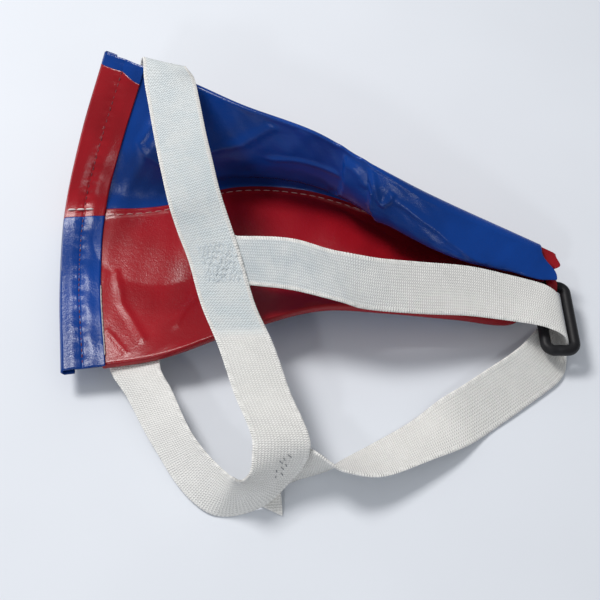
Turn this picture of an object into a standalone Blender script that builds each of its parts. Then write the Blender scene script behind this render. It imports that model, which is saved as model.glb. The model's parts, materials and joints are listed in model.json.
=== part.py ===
"""Groin guard: a soft two-colour padded pouch with a hard cup inside, an elastic waistband, an
elastic leg strap and a ring at the tip. It lies on the outside of its near half, hollow side up.

Run with: blender --background --python part.py. Sizes are in millimetres until a mesh is made;
meshes are in metres. +X runs along the pouch from the waist to the tip, +Y away from the viewer,
+Z up, and the origin is the middle of the finished object's footprint.

The pouch is two surfaces over the same pair of parameters: u counts guide stations from the
waist (0) to the tip (8), and v runs round the section from the near leg edge (0) over the centre
seam (0.5) to the far leg edge (1). Every layer is a slab between them.
"""

import math

import bmesh
import bpy
import numpy as np

# ---------------------------------------------------------------- driving dimensions, in mm
LINING_THICK = 1.0
COVER_THICK = 1.2
HEM_THICK = 1.0
TAPE_THICK = 0.5
INNER_FOAM = 3.0
OUTER_FOAM = 2.6
CUP_WALL = 2.2
LAYER_GAP = 0.3
FLOOR_CUT = 0.5

STRAP_WIDTH = 25.0
STRAP_THICK = 1.2
SEWN_GAP = 0.35
TACK_THICK = 0.5
BIGHT_GAP = 1.0

RING_BAR = 5.5
RING_SLOT_WIDTH = 9.0
RING_STRAP_PLAY = 8.0
RING_CORNER = 4.2
RING_HEIGHT = 13.0
RING_AXIS_Y = -0.5
RING_INSET = 2.0

TAB_WIDTH = 5.4
TAB_THICK = 1.2
TAB_CLEARANCE = 0.3
TAB_TONGUE = 2.0

# Depth of the pouch from lining to cover where it is filled, and where its edges are sewn
FILLED_DEPTH = (
    LINING_THICK + TAPE_THICK + INNER_FOAM + CUP_WALL + OUTER_FOAM + COVER_THICK + 5 * LAYER_GAP
)
EDGE_DEPTH = LINING_THICK + LAYER_GAP + COVER_THICK

# ---------------------------------------------------------------- guide lines of the pouch
# Nine stations from the waist's fold to the tip. Edges and roll: points of the lining.
NEAR_EDGE = [
    (-116, -49, 14), (-96, -47, 15), (-66, -44, 20), (-29, -32, 25), (7, -23, 26),
    (42, -22, 22), (78, -22, 17), (108, -21, 11), (121, -5, 9),
]
ROLL = [
    (-118, 82, 40), (-97, 75, 40), (-70, 70, 40), (-32, 66, 38), (8, 58, 36),
    (41, 30, 33), (74, 9, 30), (106, 2, 25), (131, 2, 21),
]
FAR_EDGE = [
    (-106, 114, 64), (-84, 102, 66), (-62, 94, 66), (-30, 76, 65), (8, 60, 62),
    (38, 41, 57), (74, 26, 48), (110, 17, 34), (132, 12, 25),
]
RING_MIDDLE_X = FAR_EDGE[-1][0] - RING_INSET
# Middle of the near half and the centre seam: x, y, and how high the cover lies above the floor
HOLLOW = [
    (-124, 1, 8), (-104, 1, 2), (-71, 4, 0), (-36, 16, 0), (3, 22, 0),
    (41, 13, 0), (78, 5, 0), (108, 0, 0.5), (125, 2, 1),
]
SEAM = [
    (-128, 50, 9), (-107, 51, 2), (-75, 55, 0), (-38, 68, 0), (3, 66, 0),
    (43, 50, 0), (80, 31, 0), (112, 15, 0), (131, 9, 1),
]
# Share of the filled depth at each station of the hollow and the seam, and what the stuffed
# roll of the far half adds to it
FILL_SHARE = [0.42, 1.0, 1.0, 1.0, 1.0, 1.0, 0.95, 0.8, 0.6]
ROLL_EXTRA = [-1, 2, 6, 8, 12, 20, 18, 10, -2]
# How far the way from the lining to the cover leans from straight down towards +Y, in degrees,
# at the near edge, the hollow, the roll and the far edge, and along the centre seam
EDGE_LEAN, HOLLOW_LEAN, ROLL_LEAN, FAR_LEAN = -11, 0, 81, 76
SEAM_LEAN = [20, 22, 23, 25, 34, 52, 72, 76, 76]

WAIST_FOLD, HEM_RAW_EDGE = 0.0, 1.0
U_LINES = [0.0, 0.25, 0.5, 0.75] + [1.0 + 0.35 * step for step in range(21)]
NEAR_LINES = [0.0, 0.04, 0.09, 0.14, 0.20, 0.27, 0.34, 0.41, 0.46]
FAR_LINES = [0.54, 0.60, 0.67, 0.74, 0.80, 0.86, 0.91, 0.96, 1.0]
HEM_TUCK = 0.25
SEAM_SPLIT = 0.0008
TUCK_SPLIT = 0.015
PAD_U, PAD_V = (0.75, 7.3), (0.14, 0.91)
CUP_U, CUP_V = (1.7, 6.25), (0.27, 0.80)
TAPE_V = [0.46, 0.5, 0.54]

# ---------------------------------------------------------------- routes of the elastic, in mm
# Each station gives the strap's two edges, left and right of its travel
WAISTBAND_ROUTE = [
    ((-86, 108.5, 68), (-60, 100.5, 69)), ((-84, 103, 74), (-57, 93, 76)),
    ((-79, 80, 71), (-54, 85, 73)),
    ((-73, 53, 67), (-48, 56, 69)), ((-68, 33, 63), (-44, 39, 65)),
    ((-64, 17, 58), (-40, 25, 60)), ((-60, 6, 51), (-35, 12, 53)),
    ((-54, -7, 45), (-29, -6, 46)), ((-47, -29, 39), (-22, -29, 39)),
    ((-38, -50, 35), (-13, -49, 35)), ((-30, -73, 32), (-5, -72, 31)),
    ((-24, -86, 32), (0, -86, 32)), ((-20, -95.5, 30.5), (3, -95.5, 30)),
    ((-20.5, -102, 28.5), (3.5, -100.2, 25)), ((-21.5, -108, 26.5), (1, -103, 15.5)),
    ((-24, -112, 24.5), (-5, -107, 9)), ((-26.5, -113.5, 22.5), (-18, -115.5, 4.5)),
    ((-31, -112, 20.5), (-36, -119, 3.2)),
    ((-35, -107, 20), (-48, -114, 2)), ((-42, -99, 20), (-58, -104, 1.7)),
    ((-48, -91, 20), (-67, -91, 3)), ((-54, -81, 19.5), (-74, -80, 4.5)),
    ((-62, -64, 17.5), (-84, -62, 7)), ((-69, -50, 15), (-93, -49, 9.5)),
]
FAR_STRAP_ROUTE = [
    ((-5, 2, 50), (-4, -21, 41)), ((16, -4, 50), (20, -28, 39)), ((37, -6, 46), (33, -30, 36)),
    ((59, -5, 41), (59, -29, 31)), ((84, -3, 34), (83, -27, 27)), ((105, -3, 27), (103, -28, 24)),
]
STRAP_CUT = ((118, -4.4, 23.4), (118, -29.3, 22))
BIGHT_ROUTE = [
    ((125, -6, 22), (125, -31, 20.6)), ((130, -8.3, 19.4), (130.5, -33, 18.8)),
    ((132.6, -10.2, 15.4), (133.2, -35, 15)),
]
BIGHT_CUT = ((132.4, -10.6, 10.6), (133.5, -35.4, 10.2))
NEAR_STRAP_ROUTE = [
    ((129.5, -14, 7), (134, -38, 5)), ((123, -22, 7.5), (133.5, -43, 1.8)),
    ((114, -33, 11), (129, -50, 1.6)), ((105.5, -41, 12), (122, -55.5, 1.8)),
    ((90, -51.5, 11.5), (105, -68, 1.5)), ((75, -62.5, 10), (87.3, -79.2, 2.2)),
    ((56, -72, 2.4), (64, -94.6, 9)), ((33.6, -85.5, 1.5), (39, -106.2, 14.4)),
    ((20.9, -92.8, 1.5), (21.5, -107.7, 21.6)), ((13.5, -97.5, 1.5), (14.5, -105.5, 24.6)),
    ((5.6, -100.2, 1.5), (9, -101.5, 25.5)), ((-2.4, -102.5, 1.5), (3.2, -97.8, 24)),
    ((-8.5, -106, 1.5), (-6, -99.5, 24)), ((-14, -110.5, 1.8), (-14, -102.5, 23.5)),
]
ACROSS = 5
ROW_STEP = STRAP_WIDTH / (ACROSS - 1)
# Where the leg strap's ends are sewn, in mm along the band from its far end
FAR_TACK_RUN = 150.0
NEAR_TACK_RUN = 257.5
FAR_END_U, FAR_END_V = (1.02, 2.05), (0.84, 0.90, 0.96)
NEAR_END_U, NEAR_END_V = (1.95, 1.1), (0.05, 0.10, 0.15)

# Colours and finishes: linear colour, roughness, metallic
RED_HIDE = ((0.42, 0.012, 0.02), 0.38, 0.0)
BLUE_HIDE = ((0.008, 0.075, 0.42), 0.38, 0.0)
WHITE_ELASTIC = ((0.8, 0.79, 0.77), 0.85, 0.0)
WHITE_THREAD = ((0.85, 0.85, 0.85), 0.7, 0.0)
BLACK_PLASTIC = ((0.012, 0.012, 0.014), 0.5, 0.0)
PALE_FOAM = ((0.75, 0.72, 0.6), 0.95, 0.0)
CLOUDY_PLASTIC = ((0.6, 0.62, 0.64), 0.4, 0.0)
MM = 0.001


# ---------------------------------------------------------------- numbers
def spline_weights(count, places):
    """One row of Catmull-Rom weights per place, for control points at 0, 1, ... count - 1."""
    places = np.asarray(places, dtype=float)
    start = np.clip(np.floor(places).astype(int), 0, count - 2)
    t = places - start
    basis = np.stack([
        (-t + 2 * t**2 - t**3) / 2,
        (2 - 5 * t**2 + 3 * t**3) / 2,
        (t + 4 * t**2 - 3 * t**3) / 2,
        (-(t**2) + t**3) / 2,
    ], axis=1)
    # A missing neighbour past an end is the straight continuation of the last two points
    weights = np.zeros((len(places), count + 2))
    rows = np.arange(len(places))
    for offset in range(4):
        weights[rows, start + offset] += basis[:, offset]
    inner = weights[:, 1:-1].copy()
    inner[:, 0] += 2 * weights[:, 0]
    inner[:, 1] -= weights[:, 0]
    inner[:, -1] += 2 * weights[:, -1]
    inner[:, -2] -= weights[:, -1]
    return inner


def unit(vectors):
    return vectors / np.linalg.norm(vectors, axis=-1, keepdims=True)


def pouch_guides():
    """Control points of the lining and the cover, nine stations by five guide lines."""
    fill = FILLED_DEPTH * np.array(FILL_SHARE)
    edge = np.full(len(FILL_SHARE), EDGE_DEPTH)
    depth = np.stack([edge, fill, fill, fill + np.array(ROLL_EXTRA), edge], axis=1)
    lining = np.array([NEAR_EDGE, HOLLOW, SEAM, ROLL, FAR_EDGE], dtype=float).transpose(1, 0, 2)
    lining[:, 1:3, 2] += depth[:, 1:3]
    lean = np.zeros(depth.shape) + (EDGE_LEAN, HOLLOW_LEAN, 0, ROLL_LEAN, FAR_LEAN)
    lean[:, 2] = SEAM_LEAN
    lean = np.radians(lean)
    cover = lining + depth[..., None] * np.stack([lean * 0, np.sin(lean), -np.cos(lean)], axis=2)
    return lining, cover


def pouch_surface(guides, u_lines, v_lines):
    """Tensor product of the two splines through the guides."""
    along = spline_weights(guides.shape[0], u_lines)
    round_section = spline_weights(guides.shape[1], np.asarray(v_lines) * 4)
    return np.einsum("ia,jb,abk->ijk", along, round_section, guides)


def pouch_layer(u_lines, v_lines, below_lining=None, inside_cover=None):
    """Points a distance under the lining's face, or a distance inside the cover's face. Where
    the floor presses the cover flat it pushes the lining up as far."""
    lining_guides, cover_guides = pouch_guides()
    lining = pouch_surface(lining_guides, u_lines, v_lines)
    cover = pouch_surface(cover_guides, u_lines, v_lines)
    cover[..., 2] -= FLOOR_CUT
    pressed = np.maximum(-cover[..., 2], 0)
    cover[..., 2] += pressed
    lining[..., 2] += pressed
    through = unit(cover - lining)
    if below_lining is not None:
        return lining + through * below_lining
    return cover - through * inside_cover


def between(lines, limits):
    return [line for line in lines if limits[0] - 1e-9 <= line <= limits[1] + 1e-9]


def strap_rows(stations, skip_ends):
    """Rows of points across a strap: splines through both edges, at even steps along the middle,
    each row drawn out to the strap's width."""
    edges = np.array(stations, dtype=float)
    fine = spline_weights(len(edges), np.linspace(0, len(edges) - 1, 12 * len(edges)))
    fine_edges = np.einsum("ia,aek->iek", fine, edges)
    middle = fine_edges.mean(axis=1)
    run = np.concatenate([[0], np.cumsum(np.linalg.norm(np.diff(middle, axis=0), axis=1))])
    count = max(2, round(run[-1] / ROW_STEP))
    wanted = np.linspace(0, run[-1], count + 1)
    sampled = np.stack([
        np.interp(wanted, run, fine_edges[:, edge, axis]) for edge in (0, 1) for axis in range(3)
    ], axis=1).reshape(-1, 2, 3)
    centre = sampled.mean(axis=1, keepdims=True)
    across = unit(sampled[:, 1] - sampled[:, 0])[:, None, :]
    share = np.linspace(-0.5, 0.5, ACROSS)[None, :, None]
    rows = centre + across * share * STRAP_WIDTH
    return rows[skip_ends[0]:len(rows) - skip_ends[1]]


def normals(grid):
    """Unit normals of a grid of points, on the side its rows turn to from along to across: the
    outer side of the waistband."""
    along = np.gradient(grid, axis=0)
    across = np.gradient(grid, axis=1)
    return unit(np.cross(along, across))


def edges_of(row):
    return (tuple(row[0]), tuple(row[-1]))


# ---------------------------------------------------------------- meshes
def material(name, finish):
    colour, roughness, metallic = finish
    made = bpy.data.materials.new(name)
    made.use_nodes = True
    shader = made.node_tree.nodes["Principled BSDF"]
    shader.inputs["Base Color"].default_value = (*colour, 1)
    shader.inputs["Roughness"].default_value = roughness
    shader.inputs["Metallic"].default_value = metallic
    made.diffuse_color = (*colour, 1)
    return made


def make_object(name, points, faces, finish):
    """A closed body from points in millimetres, with its faces turned outwards."""
    mesh = bpy.data.meshes.new(name)
    mesh.from_pydata((np.asarray(points) * MM).tolist(), [], faces)
    body = bmesh.new()
    body.from_mesh(mesh)
    bmesh.ops.recalc_face_normals(body, faces=body.faces)
    body.to_mesh(mesh)
    body.free()
    mesh.shade_smooth()
    mesh.set_sharp_from_angle(angle=math.radians(50))
    made = bpy.data.objects.new(name, mesh)
    made.data.materials.append(material(name + "_finish", finish))
    bpy.context.scene.collection.objects.link(made)
    return made


def slab(name, upper, lower, finish):
    """The body between two grids of the same shape, split into triangles the same way so that
    neighbouring layers never cross."""
    rows, columns = upper.shape[:2]
    index = np.arange(rows * columns).reshape(rows, columns)
    low = rows * columns
    faces = []
    for a, b, c, d in zip(
        index[:-1, :-1].flat, index[1:, :-1].flat, index[1:, 1:].flat, index[:-1, 1:].flat
    ):
        faces += [(a, b, c), (a, c, d), (low + a, low + c, low + b), (low + a, low + d, low + c)]
    rim = [*index[0, :], *index[1:, -1], *index[-1, -2::-1], *index[-2:0:-1, 0]]
    for here, there in zip(rim, rim[1:] + rim[:1]):
        faces += [(here, there, low + there), (here, low + there, low + here)]
    points = np.concatenate([upper.reshape(-1, 3), lower.reshape(-1, 3)])
    return make_object(name, points, [tuple(int(i) for i in face) for face in faces], finish)


def strap(name, rows, finish=WHITE_ELASTIC, thick=STRAP_THICK, lift=0.0):
    """A strap of even thickness on a grid of points through its middle, raised by lift."""
    out = normals(rows)
    return slab(name, rows + out * (lift + thick / 2), rows + out * (lift - thick / 2), finish)


# ---------------------------------------------------------------- the pouch
def make_panels():
    """Lining and cover, each in two halves that meet at the centre seam."""
    near = NEAR_LINES + [0.5 - SEAM_SPLIT]
    far = [0.5 + SEAM_SPLIT] + FAR_LINES
    behind_tuck = [HEM_TUCK + TUCK_SPLIT] + [u for u in U_LINES if u > HEM_TUCK]
    for name, lines, finish in (
        ("near_lining_red", near, RED_HIDE), ("far_lining_blue", far, BLUE_HIDE)
    ):
        face = pouch_layer(U_LINES, lines, below_lining=0)
        back = pouch_layer(U_LINES, lines, below_lining=LINING_THICK)
        slab(name, face, back, finish)
    for name, lines, finish in (
        ("near_cover_blue", near, BLUE_HIDE), ("far_cover_red", far, RED_HIDE)
    ):
        face = pouch_layer(behind_tuck, lines, inside_cover=0)
        back = pouch_layer(behind_tuck, lines, inside_cover=COVER_THICK)
        slab(name, back, face, finish)


def make_filling():
    """Outer pad, hard cup, inner pad and seam tape, from the cover inwards."""
    across = NEAR_LINES + [0.5] + FAR_LINES
    pad_u, pad_v = between(U_LINES, PAD_U), between(across, PAD_V)
    cup_u, cup_v = between(U_LINES, CUP_U), between(across, CUP_V)
    pad_face = COVER_THICK + LAYER_GAP
    cup_face = pad_face + OUTER_FOAM + LAYER_GAP
    inner_face = cup_face + CUP_WALL + LAYER_GAP
    tape_face = LINING_THICK + LAYER_GAP
    layers = (
        ("outer_pad", pad_u, pad_v, pad_face, pad_face + OUTER_FOAM, PALE_FOAM),
        ("protective_cup", cup_u, cup_v, cup_face, cup_face + CUP_WALL, CLOUDY_PLASTIC),
    )
    for name, u_lines, v_lines, outside, inside, finish in layers:
        lower = pouch_layer(u_lines, v_lines, inside_cover=outside)
        upper = pouch_layer(u_lines, v_lines, inside_cover=inside)
        slab(name, upper, lower, finish)
    upper = pouch_layer(cup_u, cup_v, below_lining=tape_face + TAPE_THICK + LAYER_GAP)
    lower = pouch_layer(cup_u, cup_v, inside_cover=inner_face)
    slab("inner_pad", upper, lower, PALE_FOAM)
    tape_u = between(U_LINES, PAD_U)
    upper = pouch_layer(tape_u, TAPE_V, below_lining=tape_face)
    lower = pouch_layer(tape_u, TAPE_V, below_lining=tape_face + TAPE_THICK)
    slab("seam_tape", upper, lower, WHITE_THREAD)


def make_hem(name, v_lines, finish):
    """The waist hem: a strip that lies on the lining from its raw edge to the waist, folds
    round the waist edge and runs back under it as far as the cover."""
    top_u = between(U_LINES, (WAIST_FOLD, HEM_RAW_EDGE))[::-1]
    tuck_u = between(U_LINES, (WAIST_FOLD, HEM_TUCK))
    leaf = LAYER_GAP + HEM_THICK
    top_out = pouch_layer(top_u, v_lines, below_lining=-leaf)
    top_in = pouch_layer(top_u, v_lines, below_lining=-LAYER_GAP)
    low_out = pouch_layer(tuck_u, v_lines, inside_cover=0)
    low_in = pouch_layer(tuck_u, v_lines, inside_cover=HEM_THICK)
    outwards = unit(top_out[-1] - top_out[-2])
    folds_out = []
    folds_in = []
    for share in (0.25, 0.75):
        outer = top_out[-1] * (1 - share) + low_out[0] * share
        inner = top_in[-1] * (1 - share) + low_in[0] * share
        folds_out.append(outer + outwards * leaf * 1.15)
        folds_in.append(inner + outwards * LAYER_GAP)
    outside = np.concatenate([top_out, folds_out, low_out])
    inside = np.concatenate([top_in, folds_in, low_in])
    slab(name, outside, inside, finish)


# ---------------------------------------------------------------- elastic, ring and tab
def sewn_rows(u_ends, v_lines):
    """Rows of a strap end that lies sewn on the cover, from v_lines[0] on."""
    u_lines = np.linspace(u_ends[0], u_ends[1], ACROSS)
    lift = -(SEWN_GAP + STRAP_THICK / 2)
    return pouch_layer(u_lines, v_lines, inside_cover=lift).transpose(1, 0, 2)


def run_along(band):
    """Distance of each row from the band's far end, along its middle."""
    steps = np.linalg.norm(np.diff(band[:, ACROSS // 2], axis=0), axis=1)
    return np.concatenate([[0], np.cumsum(steps)])


def across_band(band, grid, middle):
    """One point for each column of a strap that crosses the band, on each column of a grid that
    goes with the band."""
    run = run_along(band)
    wanted = middle + np.linspace(-0.5, 0.5, ACROSS) * STRAP_WIDTH
    row = np.interp(wanted, run, np.arange(len(run)))
    before = np.minimum(row.astype(int), len(run) - 2)
    share = (row - before)[:, None, None]
    return grid[before] * (1 - share) + grid[before + 1] * share


def make_waistband():
    """One loop of elastic from the back of the far leg edge round to under the near one."""
    start = sewn_rows(FAR_END_U, FAR_END_V)
    end = sewn_rows(NEAR_END_U, NEAR_END_V)
    stations = [edges_of(start[-1]), *WAISTBAND_ROUTE, edges_of(end[0])]
    free = strap_rows(stations, (1, 1))
    rows = np.concatenate([start, free, end])
    strap("waistband", rows)
    return rows


def make_tacks(band):
    """The stitched squares that hold the leg strap's ends to the band, on its outer side."""
    out = normals(band)
    run = run_along(band)
    lift = STRAP_THICK / 2 + LAYER_GAP
    for name, middle in (("far_strap_tack", FAR_TACK_RUN), ("near_strap_tack", NEAR_TACK_RUN)):
        first, last = np.searchsorted(run, (middle - STRAP_WIDTH / 2, middle + STRAP_WIDTH / 2))
        face = (band + out * (lift + TACK_THICK))[first:last + 1, 1:]
        back = (band + out * lift)[first:last + 1, 1:]
        slab(name, face, back, WHITE_THREAD)


def make_leg_strap(band):
    """Far length, bight in the ring, and near length of the leg strap."""
    under = band - normals(band) * (STRAP_THICK + SEWN_GAP)
    start = across_band(band, under, FAR_TACK_RUN)[:, 1:].transpose(1, 0, 2)
    far = strap_rows([edges_of(start[-1]), *FAR_STRAP_ROUTE, STRAP_CUT], (1, 0))
    strap("leg_strap_far", np.concatenate([start, far]))
    gap = np.array([LAYER_GAP, 0, 0])
    begin = tuple(tuple(np.array(edge) + gap) for edge in STRAP_CUT)
    strap("leg_strap_bight", strap_rows([begin, *BIGHT_ROUTE, BIGHT_CUT], (0, 0)))
    drop = np.array([0, 0, -BIGHT_GAP])
    begin = tuple(tuple(np.array(edge) + drop) for edge in BIGHT_CUT)
    strap("leg_strap_near", strap_rows([begin, *NEAR_STRAP_ROUTE], (0, 0)))


def ring_outline(steps):
    """Middle line of the ring, a rectangle with round corners, seen from above."""
    half_x = (RING_SLOT_WIDTH + RING_BAR) / 2
    length = STRAP_WIDTH + RING_STRAP_PLAY + RING_BAR
    near_y = RING_AXIS_Y - length
    corners = (
        (1, RING_AXIS_Y - RING_CORNER, 0), (-1, RING_AXIS_Y - RING_CORNER, 90),
        (-1, near_y + RING_CORNER, 180), (1, near_y + RING_CORNER, 270),
    )
    points = []
    for side, y, first in corners:
        x = RING_MIDDLE_X + side * (half_x - RING_CORNER)
        for step in range(steps + 1):
            angle = math.radians(first + 90 * step / steps)
            points.append((x + RING_CORNER * math.cos(angle), y + RING_CORNER * math.sin(angle)))
    return np.array(points)


def make_ring(steps=4, sides=10):
    """A round bar carried round the ring's outline."""
    outline = ring_outline(steps)
    ahead = np.roll(outline, -1, axis=0) - np.roll(outline, 1, axis=0)
    outward = unit(np.stack([ahead[:, 1], -ahead[:, 0]], axis=1))
    turn = np.arange(sides) * 2 * math.pi / sides
    radius = RING_BAR / 2
    flat = outline[:, None, :] + outward[:, None, :] * (radius * np.cos(turn))[None, :, None]
    height = np.broadcast_to(RING_HEIGHT + radius * np.sin(turn), flat.shape[:2])
    points = np.concatenate([flat, height[..., None]], axis=2)
    count = len(outline)
    faces = []
    for i in range(count):
        for j in range(sides):
            i2, j2 = (i + 1) % count, (j + 1) % sides
            faces.append((i * sides + j, i2 * sides + j, i2 * sides + j2, i * sides + j2))
    return make_object("tip_ring", points.reshape(-1, 3), faces, BLACK_PLASTIC)


def make_tab(steps=28):
    """A loop round the ring's far bar with a tongue towards the pouch, extruded along X."""
    angle = np.arange(steps) * 2 * math.pi / steps
    inner = RING_BAR / 2 + TAB_CLEARANCE
    outer = np.full(steps, inner + TAB_THICK)
    facing = np.cos(angle) > 0
    tongue = TAB_THICK / np.maximum(np.abs(np.sin(angle)), 1e-6)
    reach = (inner + TAB_THICK + TAB_TONGUE) / np.maximum(np.cos(angle), 1e-6)
    outer = np.where(facing, np.maximum(outer, np.minimum(tongue, reach)), outer)
    points = []
    for x in (RING_MIDDLE_X - TAB_WIDTH / 2, RING_MIDDLE_X + TAB_WIDTH / 2):
        for radius in (np.full(steps, inner), outer):
            y = RING_AXIS_Y + radius * np.cos(angle)
            z = RING_HEIGHT + radius * np.sin(angle)
            points.append(np.stack([np.full(steps, x), y, z], axis=1))
    faces = []
    for i in range(steps):
        n = (i + 1) % steps
        for low, high in ((0, 1), (3, 2), (1, 3), (2, 0)):
            faces.append((low * steps + i, low * steps + n, high * steps + n, high * steps + i))
    return make_object("tip_tab", np.concatenate(points), faces, RED_HIDE)


# ---------------------------------------------------------------- assembly
def settle_on_origin():
    """Moves everything so that the footprint's middle is the origin and the lowest point is 0,
    and puts what swings on an empty on the hinge axis."""
    objects = list(bpy.context.scene.objects)
    corners = np.concatenate([
        np.array([vertex.co[:] for vertex in made.data.vertices]) for made in objects
    ])
    low, high = corners.min(axis=0), corners.max(axis=0)
    shift = -np.array([(low[0] + high[0]) / 2, (low[1] + high[1]) / 2, low[2]])
    hinge = bpy.data.objects.new("ring_hinge", None)
    bpy.context.scene.collection.objects.link(hinge)
    hinge.location = np.array([RING_MIDDLE_X, RING_AXIS_Y, RING_HEIGHT]) * MM + shift
    for made in objects:
        swings = made.name in ("tip_ring", "leg_strap_bight")
        place = hinge.location if swings else (0, 0, 0)
        moved = [vertex.co + made.location for vertex in made.data.vertices]
        for vertex, position in zip(made.data.vertices, moved):
            vertex.co = np.array(position) + shift - np.array(place)
        if swings:
            made.parent = hinge
    print("hinge at", [round(value, 5) for value in hinge.location])
    print("size", [round(value * 1000, 2) for value in high - low])


def main():
    for old in list(bpy.data.objects):
        bpy.data.objects.remove(old, do_unlink=True)
    make_panels()
    make_filling()
    make_hem("near_hem_blue", NEAR_LINES + [0.5 - SEAM_SPLIT], BLUE_HIDE)
    make_hem("far_hem_red", [0.5 + SEAM_SPLIT] + FAR_LINES, RED_HIDE)
    band = make_waistband()
    make_tacks(band)
    make_leg_strap(band)
    make_ring()
    make_tab()
    settle_on_origin()


main()
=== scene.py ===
import json
import math

import bpy
import numpy as np
from bpy.props import FloatProperty, FloatVectorProperty, IntProperty, PointerProperty
from bpy.types import Operator, Panel, PropertyGroup
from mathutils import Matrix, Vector


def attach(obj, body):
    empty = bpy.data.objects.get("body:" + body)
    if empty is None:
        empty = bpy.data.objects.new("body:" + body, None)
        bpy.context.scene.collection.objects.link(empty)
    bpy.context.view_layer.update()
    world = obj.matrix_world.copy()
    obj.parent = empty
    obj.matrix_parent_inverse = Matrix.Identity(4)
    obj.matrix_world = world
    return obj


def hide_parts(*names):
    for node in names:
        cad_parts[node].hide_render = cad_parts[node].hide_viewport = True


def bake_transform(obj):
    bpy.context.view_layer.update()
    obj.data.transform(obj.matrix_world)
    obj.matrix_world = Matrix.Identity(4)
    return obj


bl_info = {
    "name": "Groin guard looks",
    "version": (1, 0, 0),
    "blender": (4, 5, 0),
    "location": "3D View > Sidebar > Groin guard",
    "description": "Dresses the packed groin guard with hide, elastic, thread and a stage",
    "category": "Object",
}

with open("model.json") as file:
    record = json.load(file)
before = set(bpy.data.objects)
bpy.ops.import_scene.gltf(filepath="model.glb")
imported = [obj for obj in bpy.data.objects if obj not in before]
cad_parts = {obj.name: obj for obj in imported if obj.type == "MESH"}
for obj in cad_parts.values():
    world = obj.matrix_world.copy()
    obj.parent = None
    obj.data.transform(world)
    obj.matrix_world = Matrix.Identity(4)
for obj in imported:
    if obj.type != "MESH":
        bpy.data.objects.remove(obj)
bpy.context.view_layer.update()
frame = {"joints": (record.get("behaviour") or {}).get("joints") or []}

MM = 0.001
# The guide numbers below are in millimetres in the workshop frame, where the ring's hinge is here
HINGE_IN_GUIDES = np.array([130.0, -0.5, 13.0])
HINGE = np.array(frame["joints"][0]["pos_m"])
SHIFT = HINGE / MM - HINGE_IN_GUIDES

# ---- guides, in mm
LINING_THICK, COVER_THICK, HEM_THICK, TAPE_THICK = 1.0, 1.2, 1.0, 0.5
INNER_FOAM, CUP_WALL, OUTER_FOAM = 3.0, 2.2, 2.6
LAYER_GAP, FLOOR_CUT, SEWN_GAP = 0.3, 0.5, 0.35
STRAP_WIDTH, STRAP_THICK = 25.0, 1.2
FILLED_DEPTH = (
    LINING_THICK + TAPE_THICK + INNER_FOAM + CUP_WALL + OUTER_FOAM + COVER_THICK + 5 * LAYER_GAP
)
EDGE_DEPTH = LINING_THICK + LAYER_GAP + COVER_THICK

NEAR_EDGE = [
    (-116, -49, 14), (-96, -47, 15), (-66, -44, 20), (-29, -32, 25), (7, -23, 26),
    (42, -22, 22), (78, -22, 17), (108, -21, 11), (121, -5, 9),
]
ROLL = [
    (-118, 82, 40), (-97, 75, 40), (-70, 70, 40), (-32, 66, 38), (8, 58, 36),
    (41, 30, 33), (74, 9, 30), (106, 2, 25), (131, 2, 21),
]
FAR_EDGE = [
    (-106, 114, 64), (-84, 102, 66), (-62, 94, 66), (-30, 76, 65), (8, 60, 62),
    (38, 41, 57), (74, 26, 48), (110, 17, 34), (132, 12, 25),
]
HOLLOW = [
    (-124, 1, 8), (-104, 1, 2), (-71, 4, 0), (-36, 16, 0), (3, 22, 0),
    (41, 13, 0), (78, 5, 0), (108, 0, 0.5), (125, 2, 1),
]
SEAM = [
    (-128, 50, 9), (-107, 51, 2), (-75, 55, 0), (-38, 68, 0), (3, 66, 0),
    (43, 50, 0), (80, 31, 0), (112, 15, 0), (131, 9, 1),
]
FILL_SHARE = [0.42, 1.0, 1.0, 1.0, 1.0, 1.0, 0.95, 0.8, 0.6]
ROLL_EXTRA = [-1, 2, 6, 8, 12, 20, 18, 10, -2]
EDGE_LEAN, HOLLOW_LEAN, ROLL_LEAN, FAR_LEAN = -11, 0, 81, 76
SEAM_LEAN = [20, 22, 23, 25, 34, 52, 72, 76, 76]
TIP_U, HEM_U, TUCK_U = 8.0, 1.0, 0.25
SEAM_V, SEAM_SPLIT = 0.5, 0.0008

WAISTBAND_ROUTE = [
    ((-86, 108.5, 68), (-60, 100.5, 69)), ((-84, 103, 74), (-57, 93, 76)),
    ((-79, 80, 71), (-54, 85, 73)),
    ((-73, 53, 67), (-48, 56, 69)), ((-68, 33, 63), (-44, 39, 65)),
    ((-64, 17, 58), (-40, 25, 60)), ((-60, 6, 51), (-35, 12, 53)),
    ((-54, -7, 45), (-29, -6, 46)), ((-47, -29, 39), (-22, -29, 39)),
    ((-38, -50, 35), (-13, -49, 35)), ((-30, -73, 32), (-5, -72, 31)),
    ((-24, -86, 32), (0, -86, 32)), ((-20, -95.5, 30.5), (3, -95.5, 30)),
    ((-20.5, -102, 28.5), (3.5, -100.2, 25)), ((-21.5, -108, 26.5), (1, -103, 15.5)),
    ((-24, -112, 24.5), (-5, -107, 9)), ((-26.5, -113.5, 22.5), (-18, -115.5, 4.5)),
    ((-31, -112, 20.5), (-36, -119, 3.2)),
    ((-35, -107, 20), (-48, -114, 2)), ((-42, -99, 20), (-58, -104, 1.7)),
    ((-48, -91, 20), (-67, -91, 3)), ((-54, -81, 19.5), (-74, -80, 4.5)),
    ((-62, -64, 17.5), (-84, -62, 7)), ((-69, -50, 15), (-93, -49, 9.5)),
]
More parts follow.
